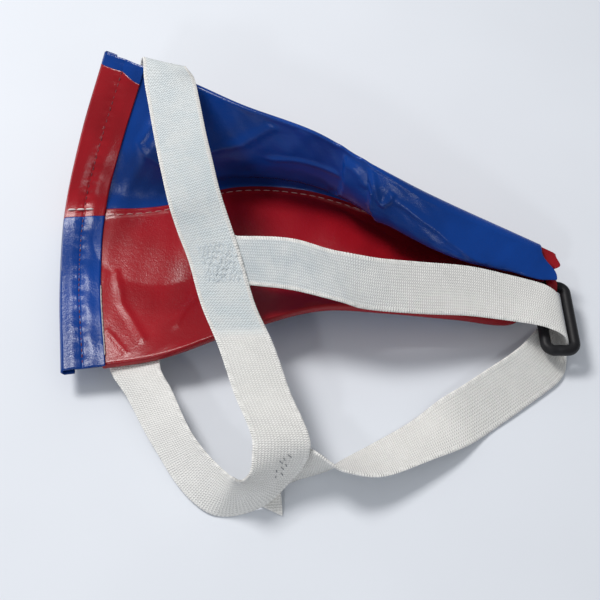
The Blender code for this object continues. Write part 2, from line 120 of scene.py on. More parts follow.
LEG_STRAP_ROUTE = [
    ((-5, 2, 50), (-4, -21, 41)), ((16, -4, 50), (20, -28, 39)), ((37, -6, 46), (33, -30, 36)),
    ((59, -5, 41), (59, -29, 31)), ((84, -3, 34), (83, -27, 27)), ((105, -3, 27), (103, -28, 24)),
    ((118, -4.4, 23.4), (118, -29.3, 22)),
    ((125, -6, 22), (125, -31, 20.6)), ((130, -8.3, 19.4), (130.5, -33, 18.8)),
    ((132.6, -10.2, 15.4), (133.2, -35, 15)), ((132.4, -10.6, 10.6), (133.5, -35.4, 10.2)),
    ((129.5, -14, 7), (134, -38, 5)), ((123, -22, 7.5), (133.5, -43, 1.8)),
    ((114, -33, 11), (129, -50, 1.6)), ((105.5, -41, 12), (122, -55.5, 1.8)),
    ((90, -51.5, 11.5), (105, -68, 1.5)), ((75, -62.5, 10), (87.3, -79.2, 2.2)),
    ((56, -72, 2.4), (64, -94.6, 9)), ((33.6, -85.5, 1.5), (39, -106.2, 14.4)),
    ((20.9, -92.8, 1.5), (21.5, -107.7, 21.6)), ((13.5, -97.5, 1.5), (14.5, -105.5, 24.6)),
    ((5.6, -100.2, 1.5), (9, -101.5, 25.5)), ((-2.4, -102.5, 1.5), (3.2, -97.8, 24)),
    ((-8.5, -106, 1.5), (-6, -99.5, 24)), ((-14, -110.5, 1.8), (-14, -102.5, 23.5)),
]
FAR_END_U, FAR_END_V = (1.02, 2.05), (0.84, 0.96)
NEAR_END_U, NEAR_END_V = (1.95, 1.1), (0.05, 0.15)
COLUMNS, STRAP_STEP = 25, 0.65
SEWN_ROWS, RELAX_TURNS = 7, 4
FAR_TACK_RUN, NEAR_TACK_RUN = 150.0, 257.5
# Corners of the leg strap's cut end, where it shows under the band: back, back, front, front
TAIL_CORNERS = [(-18, -105.5, 5), (-9.6, -106.5, 4.5), (-19.5, -114.5, 1.3), (-8.3, -119.8, 0.9)]

# Overlapping folds across the roll: the fold's u at these v, its height and its length in mm
FOLD_V = [0.60, 0.70, 0.81, 0.86, 0.92, 1.0]
LAPS = [
    ([4.28, 4.35, 4.40, 4.42, 4.45, 4.50], 3.2, 9.0),
    ([5.10, 4.94, 4.84, 4.86, 4.90, 4.86], 3.6, 7.0),
]
# Ridges of the lining: the u, v points of each line, its half width and its height in mm
RIDGES = [
    ([(4.95, 0.990), (5.01, 0.878), (5.06, 0.858), (5.18, 0.897), (5.23, 0.93)], 1.3, 1.0),
    ([(4.63, 0.95), (4.70, 0.93), (4.78, 0.905)], 3.5, 1.0),
    ([(2.61, 0.777), (3.00, 0.835), (3.39, 0.953)], 3.0, 1.0),
    ([(3.41, 0.780), (3.71, 0.807), (4.04, 0.823), (4.30, 0.845)], 2.6, 1.0),
    ([(5.35, 0.907), (5.93, 0.868), (6.57, 0.780)], 3.0, 1.0),
    ([(1.53, 0.838), (1.39, 0.775), (1.51, 0.743), (1.84, 0.695)], 2.4, 0.9),
    ([(1.28, 0.278), (1.34, 0.225), (1.36, 0.182), (1.49, 0.135), (1.60, 0.088), (1.67, 0.058)],
     2.0, 0.6),
    ([(1.08, 0.095), (1.20, 0.068), (1.39, 0.020)], 1.6, 0.45),
    ([(2.17, 0.083), (2.25, 0.120), (2.44, 0.158)], 2.2, 0.5),
]
# About how many mm of hide a step of 1 in u and in v makes
U_LENGTH, V_LENGTH = 33.0, 165.0
# Where the lining starts under the hem, on its near and its far half
LINING_U, HEM_JOINT_V = (0.96, 0.6), 0.472
LINING_ROWS, COVER_ROWS = 270, 260
# The band is a twill up to this run, and the leg strap is bluer up to this one
SATIN_END, COOL_END = 188.0, 75.0
LOOP_STEP = 1.3

RING_BAR, RING_SLOT_WIDTH, RING_LENGTH, RING_CORNER = 5.5, 9.0, 38.5, 4.2
TAB_WIDTH, TAB_THICK, TAB_CLEARANCE, TAB_TONGUE = 5.4, 1.2, 0.3, 2.0

# The stage: metres and degrees, and shares of the surround and of the key lamp's power
FLOOR_REACH, GLOSSY_SHARE, FILL_LAMP_SHARE = 6.0, 0.3, 0.12
CAMERA_LENS, CAMERA_ELEVATION, CAMERA_DISTANCE = 56.4, 56.0, 0.50


# ---- settings
def colour_setting(name, description, default):
    return FloatVectorProperty(
        name=name, description=description, subtype="COLOR", size=3, min=0, max=1, default=default)


def length_setting(name, description, default, low, high):
    return FloatProperty(
        name=name, description=description, subtype="DISTANCE", unit="LENGTH", default=default,
        min=low, max=high)


class GuardPouch(PropertyGroup):
    red: colour_setting("Red hide", "Colour of the red artificial leather", (0.29, 0.006, 0.012))
    blue: colour_setting(
        "Blue hide", "Colour of the blue artificial leather", (0.001, 0.040, 0.24))
    fold_depth: length_setting(
        "Fold depth", "Depth of the pinched folds in the far half's lining", 0.0028, 0, 0.006)
    stitch_length: length_setting(
        "Stitch length", "Length of one stitch along the seams", 0.0028, 0.001, 0.008)


class GuardElastic(PropertyGroup):
    white: colour_setting("White elastic", "Colour of the woven elastic", (0.8, 0.79, 0.76))
    rib: length_setting(
        "Rib spacing", "Distance from one lengthwise rib to the next", 0.00105, 0.0003, 0.003)


class GuardRing(PropertyGroup):
    black: colour_setting("Ring plastic", "Colour of the moulded ring", (0.012, 0.012, 0.014))
    sides: IntProperty(
        name="Bar sides", description="Number of sides round the ring's bar",
        default=24, min=8, max=64)


class GuardStage(PropertyGroup):
    floor: colour_setting("Floor", "Colour of the plain floor", (0.72, 0.75, 0.8))
    key: FloatProperty(
        name="Key lamp", description="Power of the soft lamp high behind the guard",
        subtype="POWER", unit="POWER", default=14.0, min=0, max=100)
    surround: FloatProperty(
        name="Surround", description="Strength of the even light from all round",
        default=0.46, min=0, max=2)


# ---- curves and surfaces
def spline_weights(count, places):
    """Catmull-Rom: each place between two control points takes weights of the four round it,
    cubic in the fraction t; past an end the last two points carry on in a straight line."""
    places = np.asarray(places, dtype=float)
    start = np.clip(np.floor(places).astype(int), 0, count - 2)
    t = places - start
    cubic = np.array([(0, -1, 2, -1), (2, 0, -5, 3), (0, 1, 4, -3), (0, 0, -1, 1)]) / 2
    basis = t[:, None] ** np.arange(4) @ cubic.T
    weights = np.zeros((len(places), count + 2))
    np.put_along_axis(weights, start[:, None] + np.arange(4), basis, axis=1)
    inner = weights[:, 1:-1].copy()
    for end, beside in ((0, 1), (-1, -2)):
        inner[:, end] += 2 * weights[:, end]
        inner[:, beside] -= weights[:, end]
    return inner


def unit(vectors):
    return vectors / np.maximum(np.linalg.norm(vectors, axis=-1, keepdims=True), 1e-12)


def smooth(low, high, value):
    """0 before low, 1 after high, and 3t^2 - 2t^3 between."""
    t = np.clip((value - low) / (high - low), 0, 1)
    return t * t * (3 - 2 * t)


def hump(value, centre, width):
    """exp(-((value - centre) / width)^2)."""
    return np.exp(-(((value - centre) / width) ** 2))


def distances(line):
    """How far along a line of points each of them is."""
    return np.concatenate([[0], np.cumsum(np.linalg.norm(np.diff(line, axis=0), axis=1))])


def along_line(wanted, run, values):
    """The rows of values, which stand at the distances run, interpolated at those wanted."""
    columns = values.reshape(len(values), -1).T
    found = np.stack([np.interp(wanted, run, column) for column in columns], axis=1)
    return found.reshape(-1, *values.shape[1:])


def on_surface(along, across, grid):
    """Points of a surface from the weights of its grid's rows and of its columns."""
    return np.einsum("pa,pb,abk->pk", along, across, grid, optimize=True)


def pouch_guides():
    """Nine stations by five guide lines of the lining, and of the cover a depth away."""
    fill = FILLED_DEPTH * np.array(FILL_SHARE)
    edge = np.full(len(FILL_SHARE), EDGE_DEPTH)
    depth = np.stack([edge, fill, fill, fill + np.array(ROLL_EXTRA), edge], axis=1)
    lining = np.array([NEAR_EDGE, HOLLOW, SEAM, ROLL, FAR_EDGE], dtype=float).transpose(1, 0, 2)
    lining[:, 1:3, 2] += depth[:, 1:3]
    lean = np.zeros(depth.shape) + (EDGE_LEAN, HOLLOW_LEAN, 0, ROLL_LEAN, FAR_LEAN)
    lean[:, 2] = SEAM_LEAN
    lean = np.radians(lean)
    cover = lining + depth[..., None] * np.stack([lean * 0, np.sin(lean), -np.cos(lean)], axis=2)
    return lining, cover


def lattice(u, v):
    """Two grids as they are, or the grid of two lists."""
    return (u, v) if np.ndim(u) == 2 else np.meshgrid(u, v, indexing="ij")


def pouch_faces(u, v):
    """Lining and cover at every u, v: the product of a Catmull-Rom along the stations and one
    round the five guide lines. The floor presses the cover flat and the lining up as far."""
    u, v = lattice(u, v)
    along, round_section = spline_weights(9, u.ravel()), spline_weights(5, v.ravel() * 4)
    lining, cover = (
        on_surface(along, round_section, guides).reshape(*u.shape, 3) for guides in pouch_guides())
    cover[..., 2] -= FLOOR_CUT
    pressed = np.maximum(-cover[..., 2], 0)
    cover[..., 2] += pressed
    lining[..., 2] += pressed
    return lining, cover


def trimmed(u, v):
    """v scaled from the seam, so that both leg edges are drawn in towards the tip and the far
    one is pushed out at its two laps."""
    near = 0.030 * smooth(3.0, 5.0, u)
    far = 1 - 0.030 * smooth(4.95, 5.8, u) + 0.010 * (hump(u, 4.46, 0.09) + hump(u, 4.83, 0.08))
    edge = np.where(v < SEAM_V, SEAM_V - near, far - SEAM_V) / SEAM_V
    return SEAM_V + (v - SEAM_V) * edge


def crease(u, v, path, width):
    """exp(-(d / width)^2), where d is about the distance in mm to the nearest of 48 points
    spaced along the path."""
    path = np.array(path)
    share = np.linspace(0, len(path) - 1, 48)
    line_u, line_v = along_line(share, np.arange(len(path)), path).T
    away = ((u[..., None] - line_u) * U_LENGTH) ** 2 + ((v[..., None] - line_v) * V_LENGTH) ** 2
    return np.exp(-away.min(axis=-1) / width**2)


def lining_relief(u, v, fold_depth):
    """How far the lining stands proud of its guides, in mm. At each lap it jumps up within
    1 mm and sinks again as exp(-distance / length), so the roll overlaps itself there."""
    u, v = lattice(u, v)
    share = fold_depth / 2.8
    roll = smooth(0.54, 0.66, v) * smooth(1.0, 0.93, v)
    relief = 1.6 * smooth(0.56, 0.68, v) * smooth(0.99, 0.84, v) * hump(u, 4.1, 0.9)
    over_seam = hump(v, 0.585, 0.07) * smooth(0.502, 0.535, v)
    relief += 4.6 * over_seam * smooth(1.9, 2.6, u) * smooth(5.9, 5.0, u)
    relief += 3.0 * hump(u, 1.62, 0.40) * hump(v, 0.79, 0.085)
    relief += 1.0 * hump(u, 6.1, 0.9) * hump(v, 0.74, 0.06)
    relief += 0.7 * hump(v, 0.478, 0.012)
    lumps = np.sin(u * 7.3 + v * 11) * np.sin(v * 23 - u * 2.1) + np.sin(u * 13.1 - v * 17) * 0.5
    relief += 0.18 * lumps + 0.12 * smooth(0.5, 0.6, v) * np.sin(u * 21 + v * 9) * np.sin(v * 47)
    for places, height, length in LAPS:
        past = (u - np.interp(v, FOLD_V, places)) * U_LENGTH
        lap = smooth(-0.5, 0.5, past) * np.exp(-np.maximum(past, 0) / length)
        relief += share * height * roll * lap
    for path, width, height in RIDGES:
        relief += share * height * crease(u, v, path, width)
    relief = np.maximum(relief, -0.2) * smooth(TIP_U, TIP_U - 0.35, u)
    relief += 4.8 * hump(v, 0.75, 0.06) * smooth(6.9, 7.7, u)
    return relief * smooth(0.0, 0.25, u - 0.95)


def pouch_layer(u, v, below_lining=None, inside_cover=None, relief=None):
    """Points a distance under the lining's face, or inside the cover's face, along the line
    that joins the two faces, plus a relief towards the hollow."""
    lining, cover = pouch_faces(u, v)
    through = unit(cover - lining)
    if below_lining is not None:
        points = lining + through * below_lining
    else:
        points = cover - through * inside_cover
    if relief is not None:
        points = points - through * relief[..., None]
    return points


def strap_rows(stations):
    """Rows of points across a strap: Catmull-Rom through both edges, evenly spaced along the
    middle, each row drawn out to the strap's width."""
    edges = np.array(stations, dtype=float)
    fine = spline_weights(len(edges), np.linspace(0, len(edges) - 1, 24 * len(edges)))
    fine_edges = np.einsum("ia,aek->iek", fine, edges)
    middle = fine_edges.mean(axis=1)
    run = distances(middle)
    wanted = np.linspace(0, run[-1], max(2, round(run[-1] / STRAP_STEP)) + 1)
    sampled = along_line(wanted, run, fine_edges)
    centre = sampled.mean(axis=1, keepdims=True)
    across = unit(sampled[:, 1] - sampled[:, 0])[:, None, :]
    share = np.linspace(-0.5, 0.5, COLUMNS)[None, :, None]
    return centre + across * share * STRAP_WIDTH


def normals(grid):
    return unit(np.cross(np.gradient(grid, axis=0), np.gradient(grid, axis=1)))


def relaxed(rows, keep):
    """Rows averaged with their neighbours along the strap, 1-2-1, with the ends kept."""
    rows = rows.copy()
    for _ in range(RELAX_TURNS):
        inner = (rows[:-2] + 2 * rows[1:-1] + rows[2:]) / 4
        rows[keep:-keep] = inner[keep - 1:len(inner) - keep + 1]
    return rows


def sewn_rows(u_ends, v_ends):
    lift = -(SEWN_GAP + STRAP_THICK / 2)
    rows = pouch_layer(
        np.linspace(*u_ends, COLUMNS), np.linspace(*v_ends, SEWN_ROWS), inside_cover=lift)
    return rows.transpose(1, 0, 2)


def waistband_rows():
    """Sewn rows on the far half's cover, the free loop, and sewn rows under the near edge."""
    start, end = sewn_rows(FAR_END_U, FAR_END_V), sewn_rows(NEAR_END_U, NEAR_END_V)
    stations = [(start[-1, 0], start[-1, -1]), *WAISTBAND_ROUTE, (end[0, 0], end[0, -1])]
    return np.concatenate([start, strap_rows(stations)[1:-1], end])


def band_rows():
    return relaxed(waistband_rows(), SEWN_ROWS)


def run_along(rows):
    """Distance along the middle of a strap to each of its rows, in mm."""
    return distances(rows[:, rows.shape[1] // 2])


def leg_strap_rows(band):
    """Rows sewn under the band, then one run along it, through the ring and back."""
    under = band - normals(band) * (STRAP_THICK + SEWN_GAP)
    wanted = FAR_TACK_RUN + np.linspace(-0.5, 0.5, COLUMNS) * STRAP_WIDTH
    block = along_line(wanted, run_along(band), under)
    block = block[:, COLUMNS // 4:].transpose(1, 0, 2)
    free = strap_rows([(block[-1, 0], block[-1, -1]), *LEG_STRAP_ROUTE])
    return np.concatenate([block, free[1:]]), len(block)


# ---- meshes
def quads_of(*corners):
    """Quads from four arrays of the same shape, one for each corner."""
    return np.stack(corners, axis=-1).reshape(-1, 4)


def tube_quads(points):
    """Quads over a grid of points that closes on itself both ways."""
    index = np.arange(points[..., 0].size).reshape(points.shape[:2])
    ahead = np.roll(index, -1, axis=0)
    return quads_of(index, ahead, np.roll(ahead, -1, axis=1), np.roll(index, -1, axis=1))


def put_mesh(name, points, quads, finish, slot, *nodes, body="pouch", uv=None, angle=50):
    """A mesh from points in guide millimetres and quads, put at its place in the frame and
    pressed flat where it would go through the floor. It shows in place of the nodes."""
    mesh = bpy.data.meshes.new(name)
    points = (np.asarray(points, dtype=float).reshape(-1, 3) + SHIFT) * MM
    points[:, 2] = np.maximum(points[:, 2], 0)
    quads = np.asarray(quads, dtype=np.int32)
    mesh.vertices.add(len(points))
    mesh.vertices.foreach_set("co", points.astype(np.float32).ravel())
    mesh.loops.add(quads.size)
    mesh.loops.foreach_set("vertex_index", quads.ravel())
    mesh.polygons.add(len(quads))
    mesh.polygons.foreach_set("loop_start", np.arange(len(quads), dtype=np.int32) * 4)
    mesh.update(calc_edges=True)
    mesh.validate()
    if uv is not None:
        layer = mesh.uv_layers.new(name="UVMap")
        corners = (np.asarray(uv) * MM)[quads.ravel()]
        layer.data.foreach_set("uv", corners.astype(np.float32).ravel())
    mesh.shade_smooth()
    mesh.set_sharp_from_angle(angle=math.radians(angle))
    made = bpy.data.objects.new(name, mesh)
    bpy.context.scene.collection.objects.link(made)
    mesh.materials.append(finish)
    if body is not None:
        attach(made, body)
    if nodes:
        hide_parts(*nodes)
    return made


def sheet(name, face, back, finish, slot, *nodes, body="pouch", uv=None):
    """A closed sheet between two grids. Its rim lies halfway between the two borders, and is
    pushed out along the sheet by a little under half the thickness."""
    rows, columns = face.shape[:2]
    count = rows * columns
    index = np.arange(count).reshape(rows, columns)
    grid = quads_of(index[:-1, :-1], index[1:, :-1], index[1:, 1:], index[:-1, 1:])
    inner_row, inner_column = (np.clip(np.arange(n), 1, n - 2) for n in (rows, columns))
    border, inset = (
        np.concatenate([a[0], a[1:, -1], a[-1, -2::-1], a[-2:0:-1, 0]])
        for a in (index, index[np.ix_(inner_row, inner_column)]))
    flat_face, flat_back = face.reshape(-1, 3), back.reshape(-1, 3)
    out = unit(flat_face[border] - flat_face[inset])
    wall = np.linalg.norm(flat_face[border] - flat_back[border], axis=1, keepdims=True)
    rim = (flat_face[border] + flat_back[border]) / 2 + out * wall * 0.45
    ring = np.arange(len(border)) + 2 * count
    following = np.roll(np.arange(len(border)), -1)
    upper = quads_of(border, border[following], ring[following], ring)
    lower = quads_of(ring, ring[following], border[following] + count, border + count)
    quads = np.concatenate([grid, grid[:, ::-1] + count, upper, lower])
    points = np.concatenate([flat_face, flat_back, rim])
    middle = (rows // 2, columns // 2)
    if normals(face)[middle] @ (face - back)[middle] < 0:
        quads = quads[:, ::-1]
    if uv is not None:
        flat_uv = uv.reshape(-1, 2)
        uv = np.concatenate([flat_uv, flat_uv, flat_uv[border]])
    return put_mesh(name, points, quads, finish, slot, *nodes, body=body, uv=uv)


def thread(name, starts, ends, outward, radius, colour, *nodes, arch=0.35):
    """Many stitches as one mesh. Each is a bar of six sides along its line, thin at both ends
    and arched along outward by arch * sin(pi s)."""
    rings, sides = 6, 6
    s = np.linspace(0, 1, rings)
    turn = np.arange(sides) * 2 * math.pi / sides
    ahead = unit(ends - starts)
    outward = unit(outward)
    side = unit(np.cross(ahead, outward))
    line = starts[:, None] + (ends - starts)[:, None] * s[None, :, None]
    line = line + outward[:, None] * (arch * np.sin(math.pi * s) - arch * 0.4)[None, :, None]
    thick = radius * np.sqrt(np.clip(1 - (2 * s - 1) ** 6, 0.05, 1))
    cross = side[:, None] * np.cos(turn)[:, None] + outward[:, None] * np.sin(turn)[:, None]
    points = line[:, :, None] + cross[:, None] * thick[:, None, None]
    index = np.arange(len(starts) * rings * sides).reshape(len(starts), rings, sides)
    ahead_side = np.roll(index, -1, axis=2)
    quads = quads_of(index[:, :-1], ahead_side[:, :-1], ahead_side[:, 1:], index[:, 1:])
    first, last = index[:, 0], index[:, -1]
    caps = np.concatenate([
        first[:, [0, 5, 4, 3]], first[:, [0, 3, 2, 1]], last[:, [0, 1, 2, 3]], last[:, [0, 3, 4, 5]]
    ])
    quads = np.concatenate([quads, caps])
    return put_mesh(name, points, quads, sewing_thread(colour), "thread", *nodes, angle=80)


def stitch_line(points, outward, length, gap):
    """Starts, ends and outward directions of stitches laid evenly along a line of points."""
    run = distances(points)
    begin = np.arange(0, run[-1] - length, length + gap)
    return (along_line(begin, run, points), along_line(begin + length, run, points),
            along_line(begin, run, outward))


# ---- materials
class Wire:
    """A shader socket that Python's operators turn into Math nodes."""

    def __init__(self, shader, socket):
        self.shader, self.socket = shader, socket

    def _math(self, operation, *values):
        return self.shader.node("ShaderNodeMath", {"operation": operation}, *values)

    def __add__(self, other):
        return self._math("ADD", self, other)

    def __sub__(self, other):
        return self._math("SUBTRACT", self, other)

    def __mul__(self, other):
        return self._math("MULTIPLY", self, other)

    def __rsub__(self, other):
        return self._math("SUBTRACT", other, self)

    __radd__ = __add__
    __rmul__ = __mul__

    def sine(self):
        return self._math("SINE", self)

    def step(self, low, high):
        return self.shader.node(
            "ShaderNodeMapRange", {"interpolation_type": "SMOOTHSTEP"}, self, low, high, 0.0, 1.0)


class Shader:
    """A Principled material whose nodes are added by one method."""

    def __init__(self, name, roughness, **constants):
        self.material = bpy.data.materials.new(name)
        self.material.use_nodes = True
        self.tree = self.material.node_tree
        self.surface = self.tree.nodes["Principled BSDF"]
        self.surface.inputs["Roughness"].default_value = roughness
        for socket, value in constants.items():
            self.surface.inputs[socket.replace("_", " ")].default_value = value

    def node(self, kind, settings=(), *values, output=0, **named):
        """Adds a node: its settings first, then its input sockets, in order or by name."""
        made = self.tree.nodes.new(kind)
        for key, value in dict(settings).items():
            setattr(made, key, value)
        for socket, value in (*zip(made.inputs, values), *named.items()):
            self.feed(made.inputs[socket] if isinstance(socket, str) else socket, value)
        return Wire(self, made.outputs[output])

    def feed(self, socket, value):
        if isinstance(value, Wire):
            self.tree.links.new(value.socket, socket)
        elif value is not None:
            socket.default_value = value

    def place(self, kind="Object"):
        return self.node("ShaderNodeTexCoord", output=kind)

    def noise(self, vector, scale, detail=3.0, rough=0.55):
        return self.node(
            "ShaderNodeTexNoise", Vector=vector, Scale=scale, Detail=detail, Roughness=rough)

    def cells(self, vector, scale):
        return self.node("ShaderNodeTexVoronoi", Vector=vector, Scale=scale, output="Distance")

    def colour(self, mask, low, high):
        """Base Color from low at mask 0 to high at mask 1."""
        ends = (value if isinstance(value, Wire) else (*value, 1) for value in (low, high))
        unused = (None,) * 5
        return self.node(
            "ShaderNodeMix", {"data_type": "RGBA"}, mask, *unused, *ends, output=2)

    def shade(self, mask, colour, low, high):
        """One colour times low at mask 0 and times high at mask 1."""
        return self.colour(mask, tint(colour, low), tint(colour, high))

    def finish(self, base, height=None, rough=None, bump=0.3, reach=0.0004):
        self.feed(self.surface.inputs["Base Color"], base)
        self.feed(self.surface.inputs["Roughness"], rough)
        if height is not None:
            normal = self.node("ShaderNodeBump", Strength=bump, Distance=reach, Height=height)
            self.feed(self.surface.inputs["Normal"], normal)
        return self.material


def tint(colour, factor):
    return tuple(min(1.0, channel * factor) for channel in colour)


def hide(name, colour):
    """Artificial leather: a fine pebble grain, slow colour drift, and fine creases whose tops are
    glossier than the satin between them, and whose colour is painted paler there as a painted
    glint."""
    shader = Shader(name, 0.36, Coat_Roughness=0.10, Specular_IOR_Level=0.36)
    where = shader.place()
    slow = shader.noise(where, 24.0, 2.0)
    creases = shader.noise(where, 380.0, 5.0, 0.72)
    grain = shader.cells(where, 1300.0)
    glint_crests = creases.step(0.60, 0.72)
    base = shader.shade(slow.step(0.35, 0.7), colour, 0.82, 1.14)
    # Painted glint: on the crease tops the base colour is painted paler, up to 1.6 times the hide's
    # colour
    base = shader.colour(glint_crests * 0.2, base, tint(colour, 1.6))
    rough = 0.22 + slow * 0.06 - glint_crests * 0.06
    shader.feed(shader.surface.inputs["Coat Weight"], glint_crests * 0.4)
    return shader.finish(base, creases + grain * 0.3, rough, 0.3, 0.0005)


def elastic(name, colour, rib, satin_end=None, cool_end=None):
    """Woven elastic on its own UV map, across in x and along in y: lengthwise ribs crossed by
    zigzag rows, looped edges and uneven brightness. Its colour is painted darker in the grooves of
    the ribs, rows, loops and twill and paler on their tops, as painted shade and painted highlight.
    It is bluer up to cool_end, and up to satin_end it is a closer, cooler twill."""
    shader = Shader(name, 0.85, Specular_IOR_Level=0.2, Sheen_Weight=0.15, Sheen_Roughness=0.5)
    where = shader.place("UV")
    across, along = (shader.node("ShaderNodeSeparateXYZ", (), where, output=n) for n in "XY")
    wander = shader.noise(where, 220.0, 3.0, 0.6) * 5.0
    turns = 2 * math.pi / rib
    ribs = (across * (turns * 0.72) + wander * 0.35).sine() * 0.5 + 0.5
    tooth = (across * (turns * 0.72) + wander * 0.3).sine() * 1.1
    rows = (along * turns + tooth + wander).sine() * 0.5 + 0.5
    fuzz = shader.noise(where, 1100.0, 4.0, 0.75)
    patches = shader.noise(where, 70.0, 4.0, 0.65).step(0.34, 0.68)
    weave_and_groove_shade = ribs * 0.35 + rows * 0.65
    # Painted shade and highlight: the weave's grooves are painted down to 0.68 and its tops up to
    # 1.16 times the elastic's colour
    low, high = tint(colour, 0.68), tint(colour, 1.16)
    cool = (colour[0] * 0.83, colour[1] * 0.91, colour[2] * 0.98)
    if cool_end is not None:
        warmth = along.step(cool_end - 0.04, cool_end + 0.04)
        low = shader.colour(warmth, tint(cool, 0.60), low)
        high = shader.colour(warmth, tint(cool, 1.0), high)
    base = shader.colour(weave_and_groove_shade * 0.8 + fuzz * 0.4, low, high)
    height = weave_and_groove_shade + fuzz * 0.5
    if satin_end is not None:
        slant = ((across * 2.4 - along) * turns + wander * 0.8).sine() * 0.5 + 0.5
        wide = (along * (turns * 0.7) + tooth * 1.5 + wander).sine() * 0.5 + 0.5
        twill = slant * 0.35 + wide * 0.65
        satin = 1 - along.step(satin_end - 0.004, satin_end + 0.004)
        # Painted shade and highlight: the twill's grooves are painted down to 0.42 and its tops up
        # to 1.36 times the cooler colour
        satin_base = shader.shade(twill * 0.8 + fuzz * 0.5, cool, 0.42, 1.36)
        base = shader.colour(satin, base, satin_base)
        height = height * (1 - satin) + (twill + fuzz * 0.5) * satin
    edge = (across * (math.pi / (STRAP_WIDTH * MM))).sine().step(0.10, 0.22)
    loops = (along * (turns * 0.85) + wander * 0.5).sine() * 0.5 + 0.5
    # Painted shade and highlight: along the edges the loops are painted from 0.88 to 1.14 times the
    # elastic's colour
    base = shader.colour(edge, shader.shade(loops, colour, 0.88, 1.14), base)
    base = shader.colour(patches * 0.35, base, tint(colour, 1.12))
    height += (1 - edge) * loops * 0.5
    return shader.finish(base, height, 0.78 + fuzz * 0.15, 0.8, 0.0005)


THREADS = {
    "white_thread": (0.8, 0.76, 0.74), "dark_red_thread": (0.16, 0.006, 0.02),
    "pink_thread": (0.62, 0.34, 0.32), "cool_thread": (0.66, 0.72, 0.76),
    # The dark grey thread is white thread painted grey as painted shade
    "grey_thread": (0.22, 0.23, 0.25),
}


def thread_finish(name):
    """Twisted sewing thread: a fine noise across its strands."""
    shader = Shader(name, 0.6, Sheen_Weight=0.3)
    strands = shader.noise(shader.place(), 2600.0, 2.0)
    base = shader.shade(strands, THREADS[name], 0.75, 1.15)
    return shader.finish(base, strands, 0.5 + strands * 0.25, 0.4, 0.0002)


def ring_finish(name, colour):
    """Moulded plastic: a faint orange peel, small scuffs and uneven sheen."""
    shader = Shader(name, 0.5, Specular_IOR_Level=0.3)
    where = shader.place()
    peel = shader.noise(where, 900.0, 2.0)
    scuffs = shader.noise(where, 150.0, 6.0, 0.75).step(0.55, 0.72)
    base = shader.shade(scuffs * 0.5, colour, 1, 2.6)
    rough = 0.46 + scuffs * 0.2 + peel * 0.08
    return shader.finish(base, peel + scuffs * 0.3, rough, 0.25, 0.0003)


def foam_finish(name, colour):
    """Open-cell foam: small pores on a pale body."""
    shader = Shader(name, 0.95)
    where = shader.place()
    pores = shader.cells(where, 900.0)
    stains = shader.noise(where, 60.0, 3.0)
    base = shader.shade(pores * 0.7 + stains * 0.4, colour, 0.72, 1.05)
    return shader.finish(base, pores, 0.9 + stains * 0.08, 0.5, 0.0006)


def cup_finish(name, colour):
    """Cloudy moulded plastic with a flow pattern and fine scratches."""
    shader = Shader(name, 0.38, Subsurface_Weight=0.1)
    where = shader.place()
    flow = shader.noise(where, 35.0, 4.0)
    scratches = shader.noise(where, 700.0, 5.0, 0.8)
    base = shader.shade(flow.step(0.3, 0.7), colour, 0.9, 1.08)
    return shader.finish(base, scratches, 0.32 + flow * 0.14, 0.15, 0.0003)


def floor_finish(name, colour):
    """Matte table top with a faint mottle."""
    shader = Shader(name, 0.85, Specular_IOR_Level=0.2)
    mottle = shader.noise(shader.place(), 6.0, 3.0)
    base = shader.shade(mottle.step(0.3, 0.7), colour, 0.985, 1.015)
    return shader.finish(base)


FINISHES = {}


def finish_of(key, make, *values):
    """Each finish is made once and shared by the pieces that have it."""
    if key not in FINISHES:
        FINISHES[key] = make(key, *values)
    return FINISHES[key]


def hide_of(slot):
    settings = bpy.context.scene.guard_pouch
    return finish_of(slot, hide, tuple(getattr(settings, slot.removesuffix("_hide"))))


def sewing_thread(name):
    return finish_of(name, thread_finish)


# ---- operators
def near_lines(count):
    return np.linspace(0, SEAM_V - SEAM_SPLIT, count)


def far_lines(count):
    return np.linspace(SEAM_V + SEAM_SPLIT, 1, count)


def wrapped_edge(u_edge, side, reach, spread, thick):
    """Outer and inner grids that carry the lining round one leg edge and a little way back over
    the cover. The turn is a half ellipse from the lining's face to over the cover's face, and
    the inner grid keeps inside it by the lining's thickness."""
    inwards = 1 if side == 0 else -1
    u = np.stack([u_edge, u_edge], axis=1)
    lining, cover = pouch_faces(u, trimmed(u, side + inwards * np.array([[0, 0.004]]) + 0 * u))
    through = unit(cover - lining)
    away = unit(lining[:, 0] - lining[:, 1])
    u, back_v = lattice(u_edge, side + inwards * np.linspace(0, 0.022, 8)[1:])
    grids = []
    for inset in (0, thick):
        top = lining[:, 0] + through[:, 0] * inset
        low = cover[:, 0] + through[:, 0] * (spread + thick - inset)
        middle, half = (top + low) / 2, (top - low) / 2
        turn = np.linspace(0, math.pi, 15)[1:, None, None]
        arc = middle + half * np.cos(turn) + away * (reach - inset) * np.sin(turn)
        back = pouch_layer(u, trimmed(u, back_v), inside_cover=-(spread + thick - inset))
        grids.append(np.concatenate([arc.transpose(1, 0, 2), back], axis=1))
    return grids


